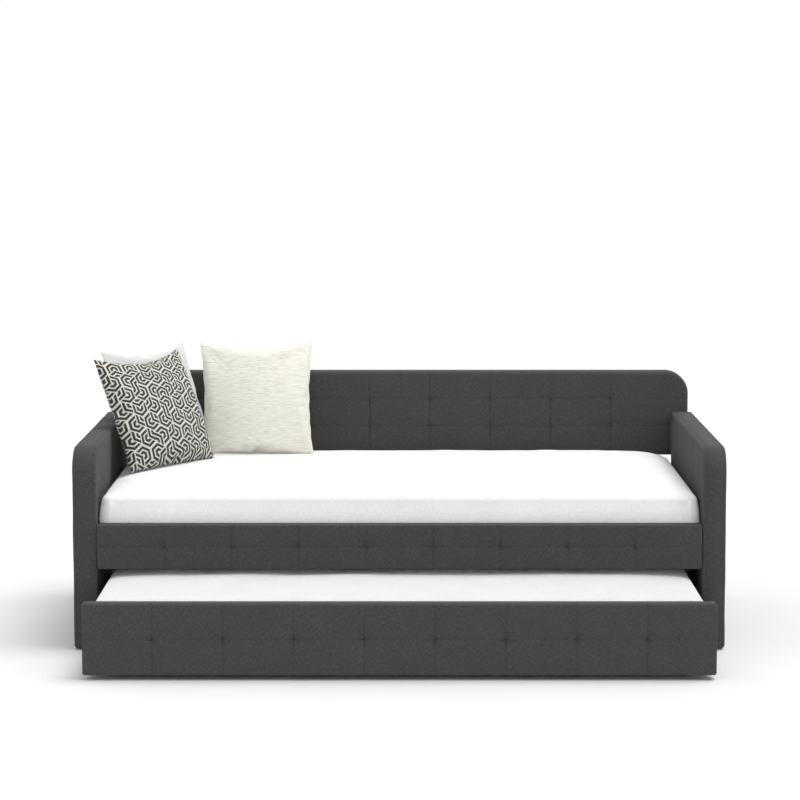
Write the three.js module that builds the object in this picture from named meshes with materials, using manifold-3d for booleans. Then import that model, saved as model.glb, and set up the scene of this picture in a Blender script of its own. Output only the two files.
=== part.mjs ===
// Upholstered daybed with a roll-out trundle, dressed with two mattresses and three pillows.
// Millimetres, +Z up. X runs along the bed, -Y is the open front, Z = 0 is the floor.
// The trundle is drawn part of the way out, and the origin is under the middle of the whole bed.
import * as THREE from 'three';
import { RoundedBoxGeometry } from 'three/addons/geometries/RoundedBoxGeometry.js';
import { mergeVertices } from 'three/addons/utils/BufferGeometryUtils.js';
import Module from 'manifold-3d';

const wasm = await Module();
wasm.setup();

// ---- Driving dimensions -------------------------------------------------------------------
const MATTRESS_LENGTH = 1905;         // a 75 in twin mattress
const MATTRESS_WIDTH = 965;           // 38 in
const INSIDE_LENGTH = 1922;           // between the two arms
const ARM_THICKNESS = 74;
const ARM_HEIGHT = 648;
const ARM_CORNER = 80;                // radius of an arm's top front corner
const BACK_SETBACK = 1040;            // from the arms' front ends to the back panel's face
const BACK_THICKNESS = 75;
const BACK_HEIGHT = 790;
const BACK_LENGTH = 2040;
const BACK_CORNER = 78;               // radius of the back panel's two top corners
const BACK_BOTTOM = 494;              // just above the mattress's edge
const RAIL_BOTTOM = 261;
const RAIL_TOP = 403;
const PANEL_THICKNESS = 50;           // the rails and the trundle front, with their pads
const TRUNDLE_LENGTH = 1913;          // trundle front panel, along X
const TRUNDLE_BOTTOM = 15.5;
const TRUNDLE_TOP = 234;
const TRUNDLE_DEPTH = 1023;           // front panel's face to the rear board's back
const TRUNDLE_OUT = 460;              // how far the trundle is drawn out at rest
const GAP = 0.3;                      // clearance between pieces that touch
const BOARD = 18;                     // engineered-wood board
const GLIDE_HEIGHT = 6;
const OVERCUT = 40;                   // how far a cutting body runs past what it cuts

const DEPTH = TRUNDLE_OUT + BACK_SETBACK + BACK_THICKNESS;
const FRONT = TRUNDLE_OUT - DEPTH / 2;            // Y of the arms' front ends
const TRUNDLE_FRONT = FRONT - TRUNDLE_OUT;        // Y of the trundle front panel's face
const INSIDE = INSIDE_LENGTH / 2;

// ---- Materials ----------------------------------------------------------------------------
const finish = (color, roughness, metalness = 0) =>
  new THREE.MeshStandardMaterial({ color, roughness, metalness });

const MATERIALS = {
  charcoal: finish('#474a47', 0.95),
  hardwood: finish('#b08d63', 0.7),
  pine: finish('#d2b283', 0.65),
  blackBoard: finish('#232423', 0.6),
  steel: finish('#8f9194', 0.35, 1),
  blackSteel: finish('#2a2b2c', 0.45, 1),
  wheel: finish('#3a3b3d', 0.55),
  glide: finish('#1d1e1e', 0.5),
  ticking: finish('#f4f4f2', 0.9),
  whiteCotton: finish('#f1f1f1', 0.9),
  creamWeave: finish('#e6e4d6', 0.9),
  printedWeave: finish('#8f8a83', 0.9),
};

// ---- Solids -------------------------------------------------------------------------------
// A closed geometry as a solid that can be cut and joined.
function solid(geometry) {
  const bare = geometry.clone();
  bare.deleteAttribute('normal');
  bare.deleteAttribute('uv');
  const merged = mergeVertices(bare, 1e-3);
  const vertProperties = new Float32Array(merged.attributes.position.array);
  const triVerts = new Uint32Array(merged.index.array);
  return new wasm.Manifold(new wasm.Mesh({ numProp: 3, vertProperties, triVerts }));
}

function geometryOf(body) {
  const { vertProperties, triVerts } = body.getMesh();
  const geometry = new THREE.BufferGeometry();
  geometry.setAttribute('position', new THREE.BufferAttribute(new Float32Array(vertProperties), 3));
  geometry.setIndex(new THREE.BufferAttribute(new Uint32Array(triVerts), 1));
  geometry.computeVertexNormals();
  return geometry;
}

// A box given by any two opposite corners, plain or with its edges rounded.
function block([x0, y0, z0], [x1, y1, z1], radius = 0) {
  const size = [x1 - x0, y1 - y0, z1 - z0].map(Math.abs);
  const box = radius > 0
    ? mergeVertices(new RoundedBoxGeometry(...size, 2, radius), 1e-3)
    : new THREE.BoxGeometry(...size);
  return box.translate((x0 + x1) / 2, (y0 + y1) / 2, (z0 + z1) / 2);
}

// An outline extruded between two depths, with soft edges where edge is over zero.
function softSlab(shape, from, to, edge) {
  return new THREE.ExtrudeGeometry(shape, {
    depth: to - from - 2 * edge,
    bevelThickness: edge,
    bevelSize: edge,
    bevelOffset: -edge,
    bevelSegments: edge > 0 ? 3 : 0,
    bevelEnabled: edge > 0,
    curveSegments: 8,
  }).translate(0, 0, from + edge);
}

// Stands an extruded outline up: its x and y become world X and Z, and its depth -Y.
const uprightAlongX = (geometry) => geometry.rotateX(Math.PI / 2);
// Stands an extruded outline up: its x and y become world Y and Z, and its depth X.
const uprightAlongY = (geometry) => geometry.rotateX(Math.PI / 2).rotateZ(Math.PI / 2);

const bed = new THREE.Group();

function add(parent, name, geometry, material) {
  const mesh = new THREE.Mesh(geometry, material);
  mesh.name = name;
  parent.add(mesh);
  return mesh;
}

// ---- Back panel: a timber panel inside a padded cover that is open at the bottom -------------
// It starts above the mattress's edge and is bolted to the rear ends of the arms.
const BACK_PAD = 22;                  // foam and fabric on the face that is leaned on
const BACK_LINING = 5;                // fabric over board at the rear
const BACK_EDGE_PAD = 14;
const BACK_SOFT_EDGE = 12;

function backOutline(inset, bottom) {
  const half = BACK_LENGTH / 2 - inset;
  const top = BACK_HEIGHT - inset;
  const radius = BACK_CORNER - inset;
  const shape = new THREE.Shape();
  shape.moveTo(-half, bottom);
  shape.lineTo(half, bottom);
  shape.lineTo(half, top - radius);
  shape.absarc(half - radius, top - radius, radius, 0, Math.PI / 2);
  shape.lineTo(radius - half, top);
  shape.absarc(radius - half, top - radius, radius, Math.PI / 2, Math.PI);
  shape.closePath();
  return shape;
}

function backPanel() {
  const face = FRONT + BACK_SETBACK;
  const rear = face + BACK_THICKNESS;
  // The slab is extruded along +Z and stood up, which turns its depth towards -Y.
  const outer = uprightAlongX(softSlab(backOutline(0, BACK_BOTTOM), -rear, -face, BACK_SOFT_EDGE));
  const cavity = uprightAlongX(softSlab(backOutline(BACK_EDGE_PAD, BACK_BOTTOM - OVERCUT),
    -(rear - BACK_LINING), -(face + BACK_PAD), 0));
  const core = uprightAlongX(softSlab(backOutline(BACK_EDGE_PAD + GAP, BACK_BOTTOM),
    -(rear - BACK_LINING - GAP), -(face + BACK_PAD + GAP), 0));
  add(bed, 'back_cover', geometryOf(solid(outer).subtract(solid(cavity))), MATERIALS.charcoal);
  add(bed, 'back_panel', core, MATERIALS.hardwood);
}

// ---- Arms: a timber panel inside a padded cover, open at the bottom and at the back ----------
const ARM_PAD = 12;
const ARM_FRONT_PAD = 16;
const ARM_SOFT_EDGE = 12;
const ARM_BACK_GAP = 0.5;             // to the back panel that the arm is bolted to

function armOutline(inset, bottom, back) {
  const top = ARM_HEIGHT - inset;
  const front = FRONT + inset;
  const radius = ARM_CORNER - inset;
  const shape = new THREE.Shape();
  shape.moveTo(front, bottom);
  shape.lineTo(back, bottom);
  shape.lineTo(back, top);
  shape.lineTo(front + radius, top);
  shape.absarc(front + radius, top - radius, radius, Math.PI / 2, Math.PI);
  shape.closePath();
  return shape;
}

function arm(side, name) {
  const back = FRONT + BACK_SETBACK - ARM_BACK_GAP;
  const x0 = side < 0 ? -INSIDE - ARM_THICKNESS : INSIDE;
  const x1 = x0 + ARM_THICKNESS;
  const outer = uprightAlongY(softSlab(armOutline(0, GLIDE_HEIGHT, back), x0, x1, ARM_SOFT_EDGE));
  const hollow = armOutline(ARM_FRONT_PAD, GLIDE_HEIGHT - OVERCUT, back + OVERCUT);
  const cavity = uprightAlongY(softSlab(hollow, x0 + ARM_PAD, x1 - ARM_PAD, 0));
  const core = uprightAlongY(softSlab(armOutline(ARM_FRONT_PAD + GAP, GLIDE_HEIGHT, back),
    x0 + ARM_PAD + GAP, x1 - ARM_PAD - GAP, 0));
  add(bed, `arm_${name}_cover`, geometryOf(solid(outer).subtract(solid(cavity))), MATERIALS.charcoal);
  add(bed, `arm_${name}_panel`, core, MATERIALS.hardwood);
}

// ---- Glides: plastic pads under the arms ------------------------------------------------------
const GLIDE_RADIUS = 15;
const GLIDE_INSET = 60;

function glides() {
  const middle = INSIDE + ARM_THICKNESS / 2;
  for (const [side, sideName] of [[-1, 'left'], [1, 'right']]) {
    for (const [y, endName] of [[FRONT + GLIDE_INSET, 'front'],
      [FRONT + BACK_SETBACK - GLIDE_INSET, 'rear']]) {
      const height = GLIDE_HEIGHT - GAP;
      const pad = new THREE.CylinderGeometry(GLIDE_RADIUS, GLIDE_RADIUS - 1, height, 24);
      pad.rotateX(Math.PI / 2).translate(side * middle, y, height / 2);
      add(bed, `glide_${sideName}_${endName}`, pad, MATERIALS.glide);
    }
  }
}

// ---- Upholstered boards: the two fixed rails and the trundle's front ---------------------------
const RAIL_WRAP = 10;                 // pad over a board's edges
const RAIL_BOARD = 24;
const RAIL_SOFT_EDGE = 6;
const RAIL_SIDE_GAP = 1.5;            // between the front rail's ends and the arms
const OUTWARD_FRONT = -1;
const OUTWARD_REAR = 1;

// The padded face is at y and looks outward; the cover is open on the other side, at the board.
function paddedBoard(boardName, coverName, halfLength, y, outward, bottom, top) {
  const at = (depth) => y - outward * depth;
  const open = PANEL_THICKNESS;
  const outer = block([-halfLength, y, bottom], [halfLength, at(open + RAIL_SOFT_EDGE), top], RAIL_SOFT_EDGE);
  const trim = block([-halfLength - OVERCUT, at(open), bottom - OVERCUT],
    [halfLength + OVERCUT, at(open + OVERCUT), top + OVERCUT]);
  const inner = halfLength - RAIL_WRAP;
  const pocket = block([-inner, at(open - RAIL_BOARD), bottom + RAIL_WRAP],
    [inner, at(open + OVERCUT), top - RAIL_WRAP]);
  const board = block([GAP - inner, at(open - RAIL_BOARD + GAP), bottom + RAIL_WRAP + GAP],
    [inner - GAP, at(open), top - RAIL_WRAP - GAP]);
  const cover = solid(outer).subtract(solid(trim)).subtract(solid(pocket));
  add(bed, coverName, geometryOf(cover), MATERIALS.charcoal);
  add(bed, boardName, board, MATERIALS.hardwood);
}

// ---- Slat deck of the daybed ------------------------------------------------------------------
const LEDGER_HEIGHT = 35;
const LEDGER_DEPTH = 30;
const LEDGER_BOTTOM = RAIL_BOTTOM + 1;
const LEDGER_LENGTH = 1840;
const SLAT_COUNT = 13;
const SLAT_WIDTH = 68;
const SLAT_THICKNESS = 18;
const SLAT_FIELD = 1800;              // from the first slat's outer edge to the last one's
const SLAT_TOP = LEDGER_BOTTOM + LEDGER_HEIGHT + GAP + SLAT_THICKNESS;
const SLAT_END_GAP = 2;               // between a slat's end and the rail or back

function slatDeck() {
  const railRear = FRONT + PANEL_THICKNESS;
  const backFace = FRONT + BACK_SETBACK;
  const ledgers = [['front_ledger', railRear + GAP], ['rear_ledger', backFace - GAP - LEDGER_DEPTH]];
  for (const [name, y] of ledgers) {
    const bar = block([-LEDGER_LENGTH / 2, y, LEDGER_BOTTOM],
      [LEDGER_LENGTH / 2, y + LEDGER_DEPTH, LEDGER_BOTTOM + LEDGER_HEIGHT]);
    add(bed, name, bar, MATERIALS.pine);
  }
  const pitch = (SLAT_FIELD - SLAT_WIDTH) / (SLAT_COUNT - 1);
  for (let i = 0; i < SLAT_COUNT; i += 1) {
    const x = -SLAT_FIELD / 2 + i * pitch;
    const slat = block([x, railRear + SLAT_END_GAP, SLAT_TOP - SLAT_THICKNESS],
      [x + SLAT_WIDTH, backFace - SLAT_END_GAP, SLAT_TOP]);
    add(bed, `slat_${String(i + 1).padStart(2, '0')}`, slat, MATERIALS.pine);
  }
}

// ---- Steel angle brackets that hold the rail's ends to the arms -------------------------------
const BRACKET_LEG = 56;
const BRACKET_PLATE = 3;
const BRACKET_RISE = 24;              // above the ledger
const BRACKET_BOTTOM = LEDGER_BOTTOM + LEDGER_HEIGHT + BRACKET_RISE;
const BRACKET_HEIGHT = 70;

function railBrackets() {
  for (const [side, name] of [[-1, 'left'], [1, 'right']]) {
    const y = FRONT + PANEL_THICKNESS + GAP;
    const x = INSIDE - GAP;
    const angle = new THREE.Shape();
    angle.moveTo(side * x, y);
    angle.lineTo(side * (x - BRACKET_LEG), y);
    angle.lineTo(side * (x - BRACKET_LEG), y + BRACKET_PLATE);
    angle.lineTo(side * (x - BRACKET_PLATE), y + BRACKET_PLATE);
    angle.lineTo(side * (x - BRACKET_PLATE), y + BRACKET_LEG);
    angle.lineTo(side * x, y + BRACKET_LEG);
    angle.closePath();
    const bracket = new THREE.ExtrudeGeometry(angle, { depth: BRACKET_HEIGHT, bevelEnabled: false });
    add(bed, `rail_bracket_${name}`, bracket.translate(0, 0, BRACKET_BOTTOM), MATERIALS.steel);
  }
}

// ---- Mattresses: rings of a rounded rectangle, rolled at the edges and crowned on top ---------
function roundedRectangle(halfX, halfY, radius, perCorner) {
  const points = [];
  const centres = [[1, 1], [-1, 1], [-1, -1], [1, -1]];
  centres.forEach(([sx, sy], quarter) => {
    for (let i = 0; i <= perCorner; i += 1) {
      const angle = (quarter + i / perCorner) * Math.PI / 2;
      points.push([sx * (halfX - radius) + radius * Math.cos(angle),
        sy * (halfY - radius) + radius * Math.sin(angle)]);
    }
  });
  return points;
}

const PER_CORNER = 5;                 // points round a corner, after its first
const CLOSEST_CORNER = 12;            // smallest corner radius of an inner ring

// Rings from the bottom to the top, each {inset, z}, closed by a fan at either end.
function stackedRings(halfX, halfY, corner, rings, topZ) {
  const position = [];
  for (const { inset, z } of rings) {
    const radius = Math.max(corner - inset, CLOSEST_CORNER);
    for (const [x, y] of roundedRectangle(halfX - inset, halfY - inset, radius, PER_CORNER)) {
      position.push(x, y, z);
    }
  }
  const count = position.length / 3 / rings.length;
  const bottom = position.length / 3;
  position.push(0, 0, rings[0].z);
  const top = bottom + 1;
  position.push(0, 0, topZ);
  const index = [];
  for (let i = 0; i < count; i += 1) {
    const next = (i + 1) % count;
    index.push(bottom, next, i);
    for (let r = 0; r + 1 < rings.length; r += 1) {
      const a = r * count;
      const b = a + count;
      index.push(a + i, a + next, b + next, a + i, b + next, b + i);
    }
    const last = (rings.length - 1) * count;
    index.push(last + i, last + next, top);
  }
  const geometry = new THREE.BufferGeometry();
  geometry.setAttribute('position', new THREE.Float32BufferAttribute(position, 3));
  geometry.setIndex(index);
  geometry.computeVertexNormals();
  return geometry;
}

const EDGE_ROLL = 18;
const MATTRESS_CORNER = 40;
// Sections of the rolled bottom edge, the rolled top edge and the crown over it, each from outside
// in: how far in by the edge roll, and how high by the edge roll or by the crown.
const BOTTOM_ROLL = [[0.6, 0], [0.15, 0.35], [0, 1]];
const TOP_ROLL = [[0, -1], [0.3, -0.3], [1, 0]];
const CROWN_RISE = [[3.7, 0.5], [8.6, 0.85]];

function mattress(name, length, width, y, bottom, top, crown, material) {
  const shoulder = top - crown;       // height where the side turns into the top
  const rings = [
    ...BOTTOM_ROLL.map(([inward, up]) => ({ inset: EDGE_ROLL * inward, z: bottom + EDGE_ROLL * up })),
    ...TOP_ROLL.map(([inward, up]) => ({ inset: EDGE_ROLL * inward, z: shoulder + EDGE_ROLL * up })),
    ...CROWN_RISE.map(([inward, up]) => ({ inset: EDGE_ROLL * inward, z: shoulder + crown * up })),
  ];
  const body = stackedRings(length / 2, width / 2, MATTRESS_CORNER, rings, top);
  add(bed, name, body.translate(0, y + width / 2, 0), material);
}

// ---- Pillows: two bulged faces that meet at a seam, with sides drawn in between the corners ---
const PILLOW_CELLS = 12;
const SEAM_HALF = 2.5;                // half the seam's thickness
const SIDE_DRAW = 0.022;              // how far a side's middle is drawn in, by the pillow's size
const FULLNESS = 0.45;                // below 1, the filling reaches further towards the seams

function pillow(name, { size, centre, turn, lean, roll, front, rear }, material) {
  const half = size / 2;
  const draw = size * SIDE_DRAW;
  const at = (i) => -Math.cos(Math.PI * i / PILLOW_CELLS);
  const position = [];
  for (const [bulge, sign] of [[front, -1], [rear, 1]]) {
    for (let j = 0; j <= PILLOW_CELLS; j += 1) {
      for (let i = 0; i <= PILLOW_CELLS; i += 1) {
        const u = at(i);
        const v = at(j);
        const fullness = Math.pow((1 - u * u) * (1 - v * v), FULLNESS);
        position.push(u * (half - draw * (1 - v * v)), sign * (SEAM_HALF + bulge * fullness),
          v * (half - draw * (1 - u * u)));
      }
    }
  }
  const row = PILLOW_CELLS + 1;
  const face = row * row;
  const index = [];
  const quad = (a, b, c, d) => index.push(a, b, c, a, c, d);
  for (let j = 0; j < PILLOW_CELLS; j += 1) {
    for (let i = 0; i < PILLOW_CELLS; i += 1) {
      const a = j * row + i;
      quad(a, a + 1, a + row + 1, a + row);
      quad(face + a, face + a + row, face + a + row + 1, face + a + 1);
    }
    const side = j * row;
    quad(side, side + row, face + side + row, face + side);
    const far = side + PILLOW_CELLS;
    quad(far, face + far, face + far + row, far + row);
    const high = PILLOW_CELLS * row + j;
    quad(high, high + 1, face + high + 1, face + high);
    quad(j, face + j, face + j + 1, j + 1);
  }
  const geometry = new THREE.BufferGeometry();
  geometry.setAttribute('position', new THREE.Float32BufferAttribute(position, 3));
  geometry.setIndex(index);
  geometry.computeVertexNormals();
  const mesh = add(bed, name, geometry, material);
  const degrees = THREE.MathUtils.degToRad;
  mesh.rotation.set(degrees(lean), degrees(roll), degrees(turn), 'ZXY');
  mesh.position.set(...centre);
}

const PILLOWS = {
  pillow_printed: {
    size: 405, centre: [-829, FRONT + 631, 701], turn: 50.7, lean: -24.1, roll: -1.2, front: 62, rear: 45,
  },
  pillow_white: {
    size: 405, centre: [-835, FRONT + 853, 703], turn: 50.2, lean: -22, roll: -0.5, front: 30, rear: 36,
  },
  pillow_cream: {
    size: 392, centre: [-497, FRONT + 899, 709.5], turn: -4, lean: -5, roll: -1, front: 62, rear: 22,
  },
};

// ---- Trundle: a low drawer on four fixed casters ----------------------------------------------
const SIDE_FACE = 952;                // outer face of the trundle's side boards
const BOX_BOTTOM = 30;
const BOX_TOP = 150;
const CLEAT_DEPTH = 60;
const CLEAT_TOP = 78;
const CLEAT_HEIGHT = 28;
const DECK_THICKNESS = 12;
const DECK_PANELS = ['left', 'middle', 'right'];
const DECK_GAP = 4;
const DECK_TOP = CLEAT_TOP + GAP + DECK_THICKNESS;
const CENTRE_RAIL_WIDTH = 45;
const DECK_END_GAP = 1;               // between a deck panel and the board at its end

function trundleBox() {
  const start = TRUNDLE_FRONT + PANEL_THICKNESS + GAP;
  const rearBoard = TRUNDLE_FRONT + TRUNDLE_DEPTH - BOARD;
  const end = rearBoard - GAP;
  for (const [side, name] of [[-1, 'left'], [1, 'right']]) {
    const [x0, x1] = side < 0 ? [-SIDE_FACE, BOARD - SIDE_FACE] : [SIDE_FACE - BOARD, SIDE_FACE];
    const sideBoard = block([x0, start, BOX_BOTTOM], [x1, end, BOX_TOP]);
    add(bed, `trundle_side_${name}`, sideBoard, MATERIALS.blackBoard);
  }
  add(bed, 'trundle_rear_board', block([-SIDE_FACE, rearBoard, BOX_BOTTOM],
    [SIDE_FACE, rearBoard + BOARD, BOX_TOP]), MATERIALS.blackBoard);

  const reach = SIDE_FACE - BOARD - GAP;
  const bars = [
    ['trundle_front_cleat', start, CLEAT_DEPTH],
    ['trundle_rear_cleat', end - CLEAT_DEPTH, CLEAT_DEPTH],
    ['trundle_centre_rail', (start + end - CENTRE_RAIL_WIDTH) / 2, CENTRE_RAIL_WIDTH],
  ];
  for (const [name, y, depth] of bars) {
    const bar = block([-reach, y, CLEAT_TOP - CLEAT_HEIGHT], [reach, y + depth, CLEAT_TOP]);
    add(bed, name, bar, MATERIALS.pine);
  }

  const width = (2 * reach - (DECK_PANELS.length - 1) * DECK_GAP) / DECK_PANELS.length;
  DECK_PANELS.forEach((name, i) => {
    const x = -reach + i * (width + DECK_GAP);
    const panel = block([x, start + DECK_END_GAP, CLEAT_TOP + GAP],
      [x + width, end - DECK_END_GAP, DECK_TOP]);
    add(bed, `trundle_deck_${name}`, panel, MATERIALS.pine);
  });
}

// ---- Casters: a folded steel fork riveted to an axle, with a hard rubber wheel ---------------
const WHEEL_RADIUS = 22.5;
const WHEEL_WIDTH = 20;
const HUB_RADIUS = 9;
const DISH = [11, 17, 3];             // inner and outer radius of the dished web, and its depth
const RIM_RADIUS = 18.5;
const RIM_SETBACK = 1;                // of the rim's side from the hub's
const TREAD_BEVEL = [2, 2.5];         // across and along
const AXLE_RADIUS = 4;
const RUNNING_GAP = 0.3;
const PLATE_LENGTH = 58;
const PLATE_WIDTH = 46;
const PLATE_THICKNESS = 3;
const CHEEK_THICKNESS = 2.5;
const CHEEK_INSIDE = 12.5;            // from the wheel's middle to a cheek
const CHEEK_ROUND = 9;
const CHEEK_HALF = 20;                // half a cheek's length along the plate
const CHEEK_ARC = [1.1, 1.9];         // start and end of its round foot, in half turns
const WELD = 1;                       // overlap of a cheek with the plate
const RIVET_RADIUS = 6;
const RIVET_HEAD = 2;
const CASTER_X = 880;
const CASTER_INSET = 32;              // from a cleat's board side to the wheel's middle

function turned(profile, segments) {
  const points = profile.map(([radius, along]) => new THREE.Vector2(radius, along));
  return new THREE.LatheGeometry(points, segments).rotateZ(Math.PI / 2);
}

function wheelGeometry() {
  const half = WHEEL_WIDTH / 2;
  const bore = AXLE_RADIUS + RUNNING_GAP;
  const [dishInner, dishOuter, dishDepth] = DISH;
  const [across, along] = TREAD_BEVEL;
  const side = half - RIM_SETBACK;
  const outwards = [[bore, half], [HUB_RADIUS, half], [dishInner, half - dishDepth],
    [dishOuter, half - dishDepth], [RIM_RADIUS, side], [WHEEL_RADIUS - across, side],
    [WHEEL_RADIUS, side - along]];
  const lower = outwards.map(([radius, height]) => [radius, -height]);
  const ring = [...lower, ...outwards.reverse(), lower[0]];
  return mergeVertices(turned(ring, 32).deleteAttribute('uv').deleteAttribute('normal'), 1e-3);
}

function axleGeometry() {
  const shank = CHEEK_INSIDE + CHEEK_THICKNESS + GAP;
  const head = shank + RIVET_HEAD;
  return turned([[0, -head], [RIVET_RADIUS, -head], [RIVET_RADIUS, -shank], [AXLE_RADIUS, -shank],
    [AXLE_RADIUS, shank], [RIVET_RADIUS, shank], [RIVET_RADIUS, head], [0, head]], 20);
}

function forkGeometry() {
  const plateTop = CLEAT_TOP - CLEAT_HEIGHT - GAP - WHEEL_RADIUS;
  const plateBottom = plateTop - PLATE_THICKNESS;
  const [start, end] = CHEEK_ARC;
  const cheek = new THREE.Shape();
  cheek.moveTo(-CHEEK_HALF, plateBottom + WELD);
  cheek.absarc(0, 0, CHEEK_ROUND, Math.PI * start, Math.PI * end);
  cheek.lineTo(CHEEK_HALF, plateBottom + WELD);
  cheek.closePath();
  let fork = solid(block([-PLATE_WIDTH / 2, -PLATE_LENGTH / 2, plateBottom],
    [PLATE_WIDTH / 2, PLATE_LENGTH / 2, plateTop]));
  for (const x of [-CHEEK_INSIDE - CHEEK_THICKNESS, CHEEK_INSIDE]) {
    const wall = new THREE.ExtrudeGeometry(cheek,
      { depth: CHEEK_THICKNESS, bevelEnabled: false, curveSegments: 10 });
    fork = fork.add(solid(uprightAlongY(wall).translate(x, 0, 0)));
  }
  const bore = AXLE_RADIUS + RUNNING_GAP;
  const hole = turned([[0, -OVERCUT], [bore, -OVERCUT], [bore, OVERCUT], [0, OVERCUT]], 20);
  return geometryOf(fork.subtract(solid(hole)));
}

function casters() {
  const fork = forkGeometry();
  const axle = axleGeometry();
  const wheel = wheelGeometry();
  const nearFront = TRUNDLE_FRONT + PANEL_THICKNESS + GAP + CASTER_INSET;
  const nearRear = TRUNDLE_FRONT + TRUNDLE_DEPTH - BOARD - GAP - CASTER_INSET;
  for (const [side, sideName] of [[-1, 'left'], [1, 'right']]) {
    for (const [y, endName] of [[nearFront, 'front'], [nearRear, 'rear']]) {
      const place = new THREE.Group();
      place.position.set(side * CASTER_X, y, WHEEL_RADIUS);
      bed.add(place);
      const name = `${sideName}_${endName}`;
      add(place, `caster_fork_${name}`, fork.clone(), MATERIALS.blackSteel);
      add(place, `caster_axle_${name}`, axle.clone(), MATERIALS.steel);
      add(place, `caster_wheel_${name}`, wheel.clone(), MATERIALS.wheel);
    }
  }
}

// ---- Assembly -----------------------------------------------------------------------------
const MATTRESS_TOP = 518;
const MATTRESS_CROWN = 33;
const MATTRESS_SETBACK = 9;           // from the front rail's rear
const TRUNDLE_MATTRESS_LENGTH = 1860;
const TRUNDLE_MATTRESS_WIDTH = 950;
const TRUNDLE_MATTRESS_TOP = 240;
const TRUNDLE_MATTRESS_CROWN = 10;
const TRUNDLE_MATTRESS_SETBACK = 2.5; // from the trundle front's rear

backPanel();
arm(-1, 'left');
arm(1, 'right');
glides();
paddedBoard('rail_board', 'rail_cover', INSIDE - RAIL_SIDE_GAP, FRONT, OUTWARD_FRONT,
  RAIL_BOTTOM, RAIL_TOP);
paddedBoard('rear_rail_board', 'rear_rail_cover', BACK_LENGTH / 2,
  FRONT + BACK_SETBACK + PANEL_THICKNESS, OUTWARD_REAR, RAIL_BOTTOM, RAIL_TOP);
slatDeck();
railBrackets();
mattress('mattress', MATTRESS_LENGTH, MATTRESS_WIDTH, FRONT + PANEL_THICKNESS + MATTRESS_SETBACK,
  SLAT_TOP + GAP, MATTRESS_TOP, MATTRESS_CROWN, MATERIALS.ticking);
pillow('pillow_printed', PILLOWS.pillow_printed, MATERIALS.printedWeave);
pillow('pillow_white', PILLOWS.pillow_white, MATERIALS.whiteCotton);
pillow('pillow_cream', PILLOWS.pillow_cream, MATERIALS.creamWeave);
paddedBoard('trundle_front_board', 'trundle_front_cover', TRUNDLE_LENGTH / 2, TRUNDLE_FRONT,
  OUTWARD_FRONT, TRUNDLE_BOTTOM, TRUNDLE_TOP);
trundleBox();
mattress('trundle_mattress', TRUNDLE_MATTRESS_LENGTH, TRUNDLE_MATTRESS_WIDTH,
  TRUNDLE_FRONT + PANEL_THICKNESS + TRUNDLE_MATTRESS_SETBACK, DECK_TOP + GAP,
  TRUNDLE_MATTRESS_TOP, TRUNDLE_MATTRESS_CROWN, MATERIALS.ticking);
casters();

export default bed;
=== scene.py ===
# An upholstered daybed with a roll-out trundle, dressed with two mattresses and three pillows.
# Metres, +Z up. X runs along the bed, -Y is its open front, and Z = 0 is the floor.
import math

import bmesh
import bpy
import numpy as np
from mathutils import Matrix, Vector


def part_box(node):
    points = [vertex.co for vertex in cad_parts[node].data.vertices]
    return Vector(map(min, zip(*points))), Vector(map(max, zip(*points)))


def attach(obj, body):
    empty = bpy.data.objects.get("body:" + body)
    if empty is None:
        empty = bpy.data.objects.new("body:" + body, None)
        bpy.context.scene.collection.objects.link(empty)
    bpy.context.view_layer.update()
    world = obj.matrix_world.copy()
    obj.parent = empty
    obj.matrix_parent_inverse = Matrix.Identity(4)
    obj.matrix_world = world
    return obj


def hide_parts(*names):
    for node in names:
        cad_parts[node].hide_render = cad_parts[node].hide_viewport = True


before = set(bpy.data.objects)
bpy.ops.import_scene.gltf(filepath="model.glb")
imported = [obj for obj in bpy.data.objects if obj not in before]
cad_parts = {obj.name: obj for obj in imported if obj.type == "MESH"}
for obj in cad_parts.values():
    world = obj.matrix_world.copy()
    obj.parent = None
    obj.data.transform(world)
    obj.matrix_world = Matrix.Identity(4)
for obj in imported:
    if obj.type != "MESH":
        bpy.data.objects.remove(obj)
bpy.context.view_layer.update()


# ---- Back ---------------------------------------------------------------------------------
# The back is one timber panel under foam and charcoal weave, with rounded top corners. Its face is
# sewn in a grid, and twine pulled through the panel sinks each crossing; the rear is plain cloth.
TUFT_PITCH = 0.2133                    # nine equal fields along the bed, between eight tufts
TUFTS = [TUFT_PITCH * (i - 3.5) for i in range(8)]
BACK_ROW = 0.0971                      # height of one row of fields
BACK_CORNER = 0.078
SOFT_EDGE = 0.012                      # roundness of foam pulled over a board's edge
SQUARE_CORNER = 0.015
BACK_TURN_UNDER = 0.0015               # cloth turned over the bottom edge of the board
BACK_LINING = 0.003                    # cloth and wadding over the rear of the board
SEAM_STEPS = (0, 0.0012, 0.0026, 0.0044, 0.0066, 0.0092, 0.0125, 0.0168, 0.0225, 0.030, 0.040)
CORNER_SHARES = (0.04, 0.1, 0.18, 0.27, 0.36, 0.46, 0.56, 0.66, 0.76, 0.86, 0.94, 1)
PANEL_PITCH = 0.022                    # widest spacing of the cloth's grid
CLOSEST = 0.0007                       # and the closest
FIELD_SWELL = 0.0012                   # how far the fields swell between the seams


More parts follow.
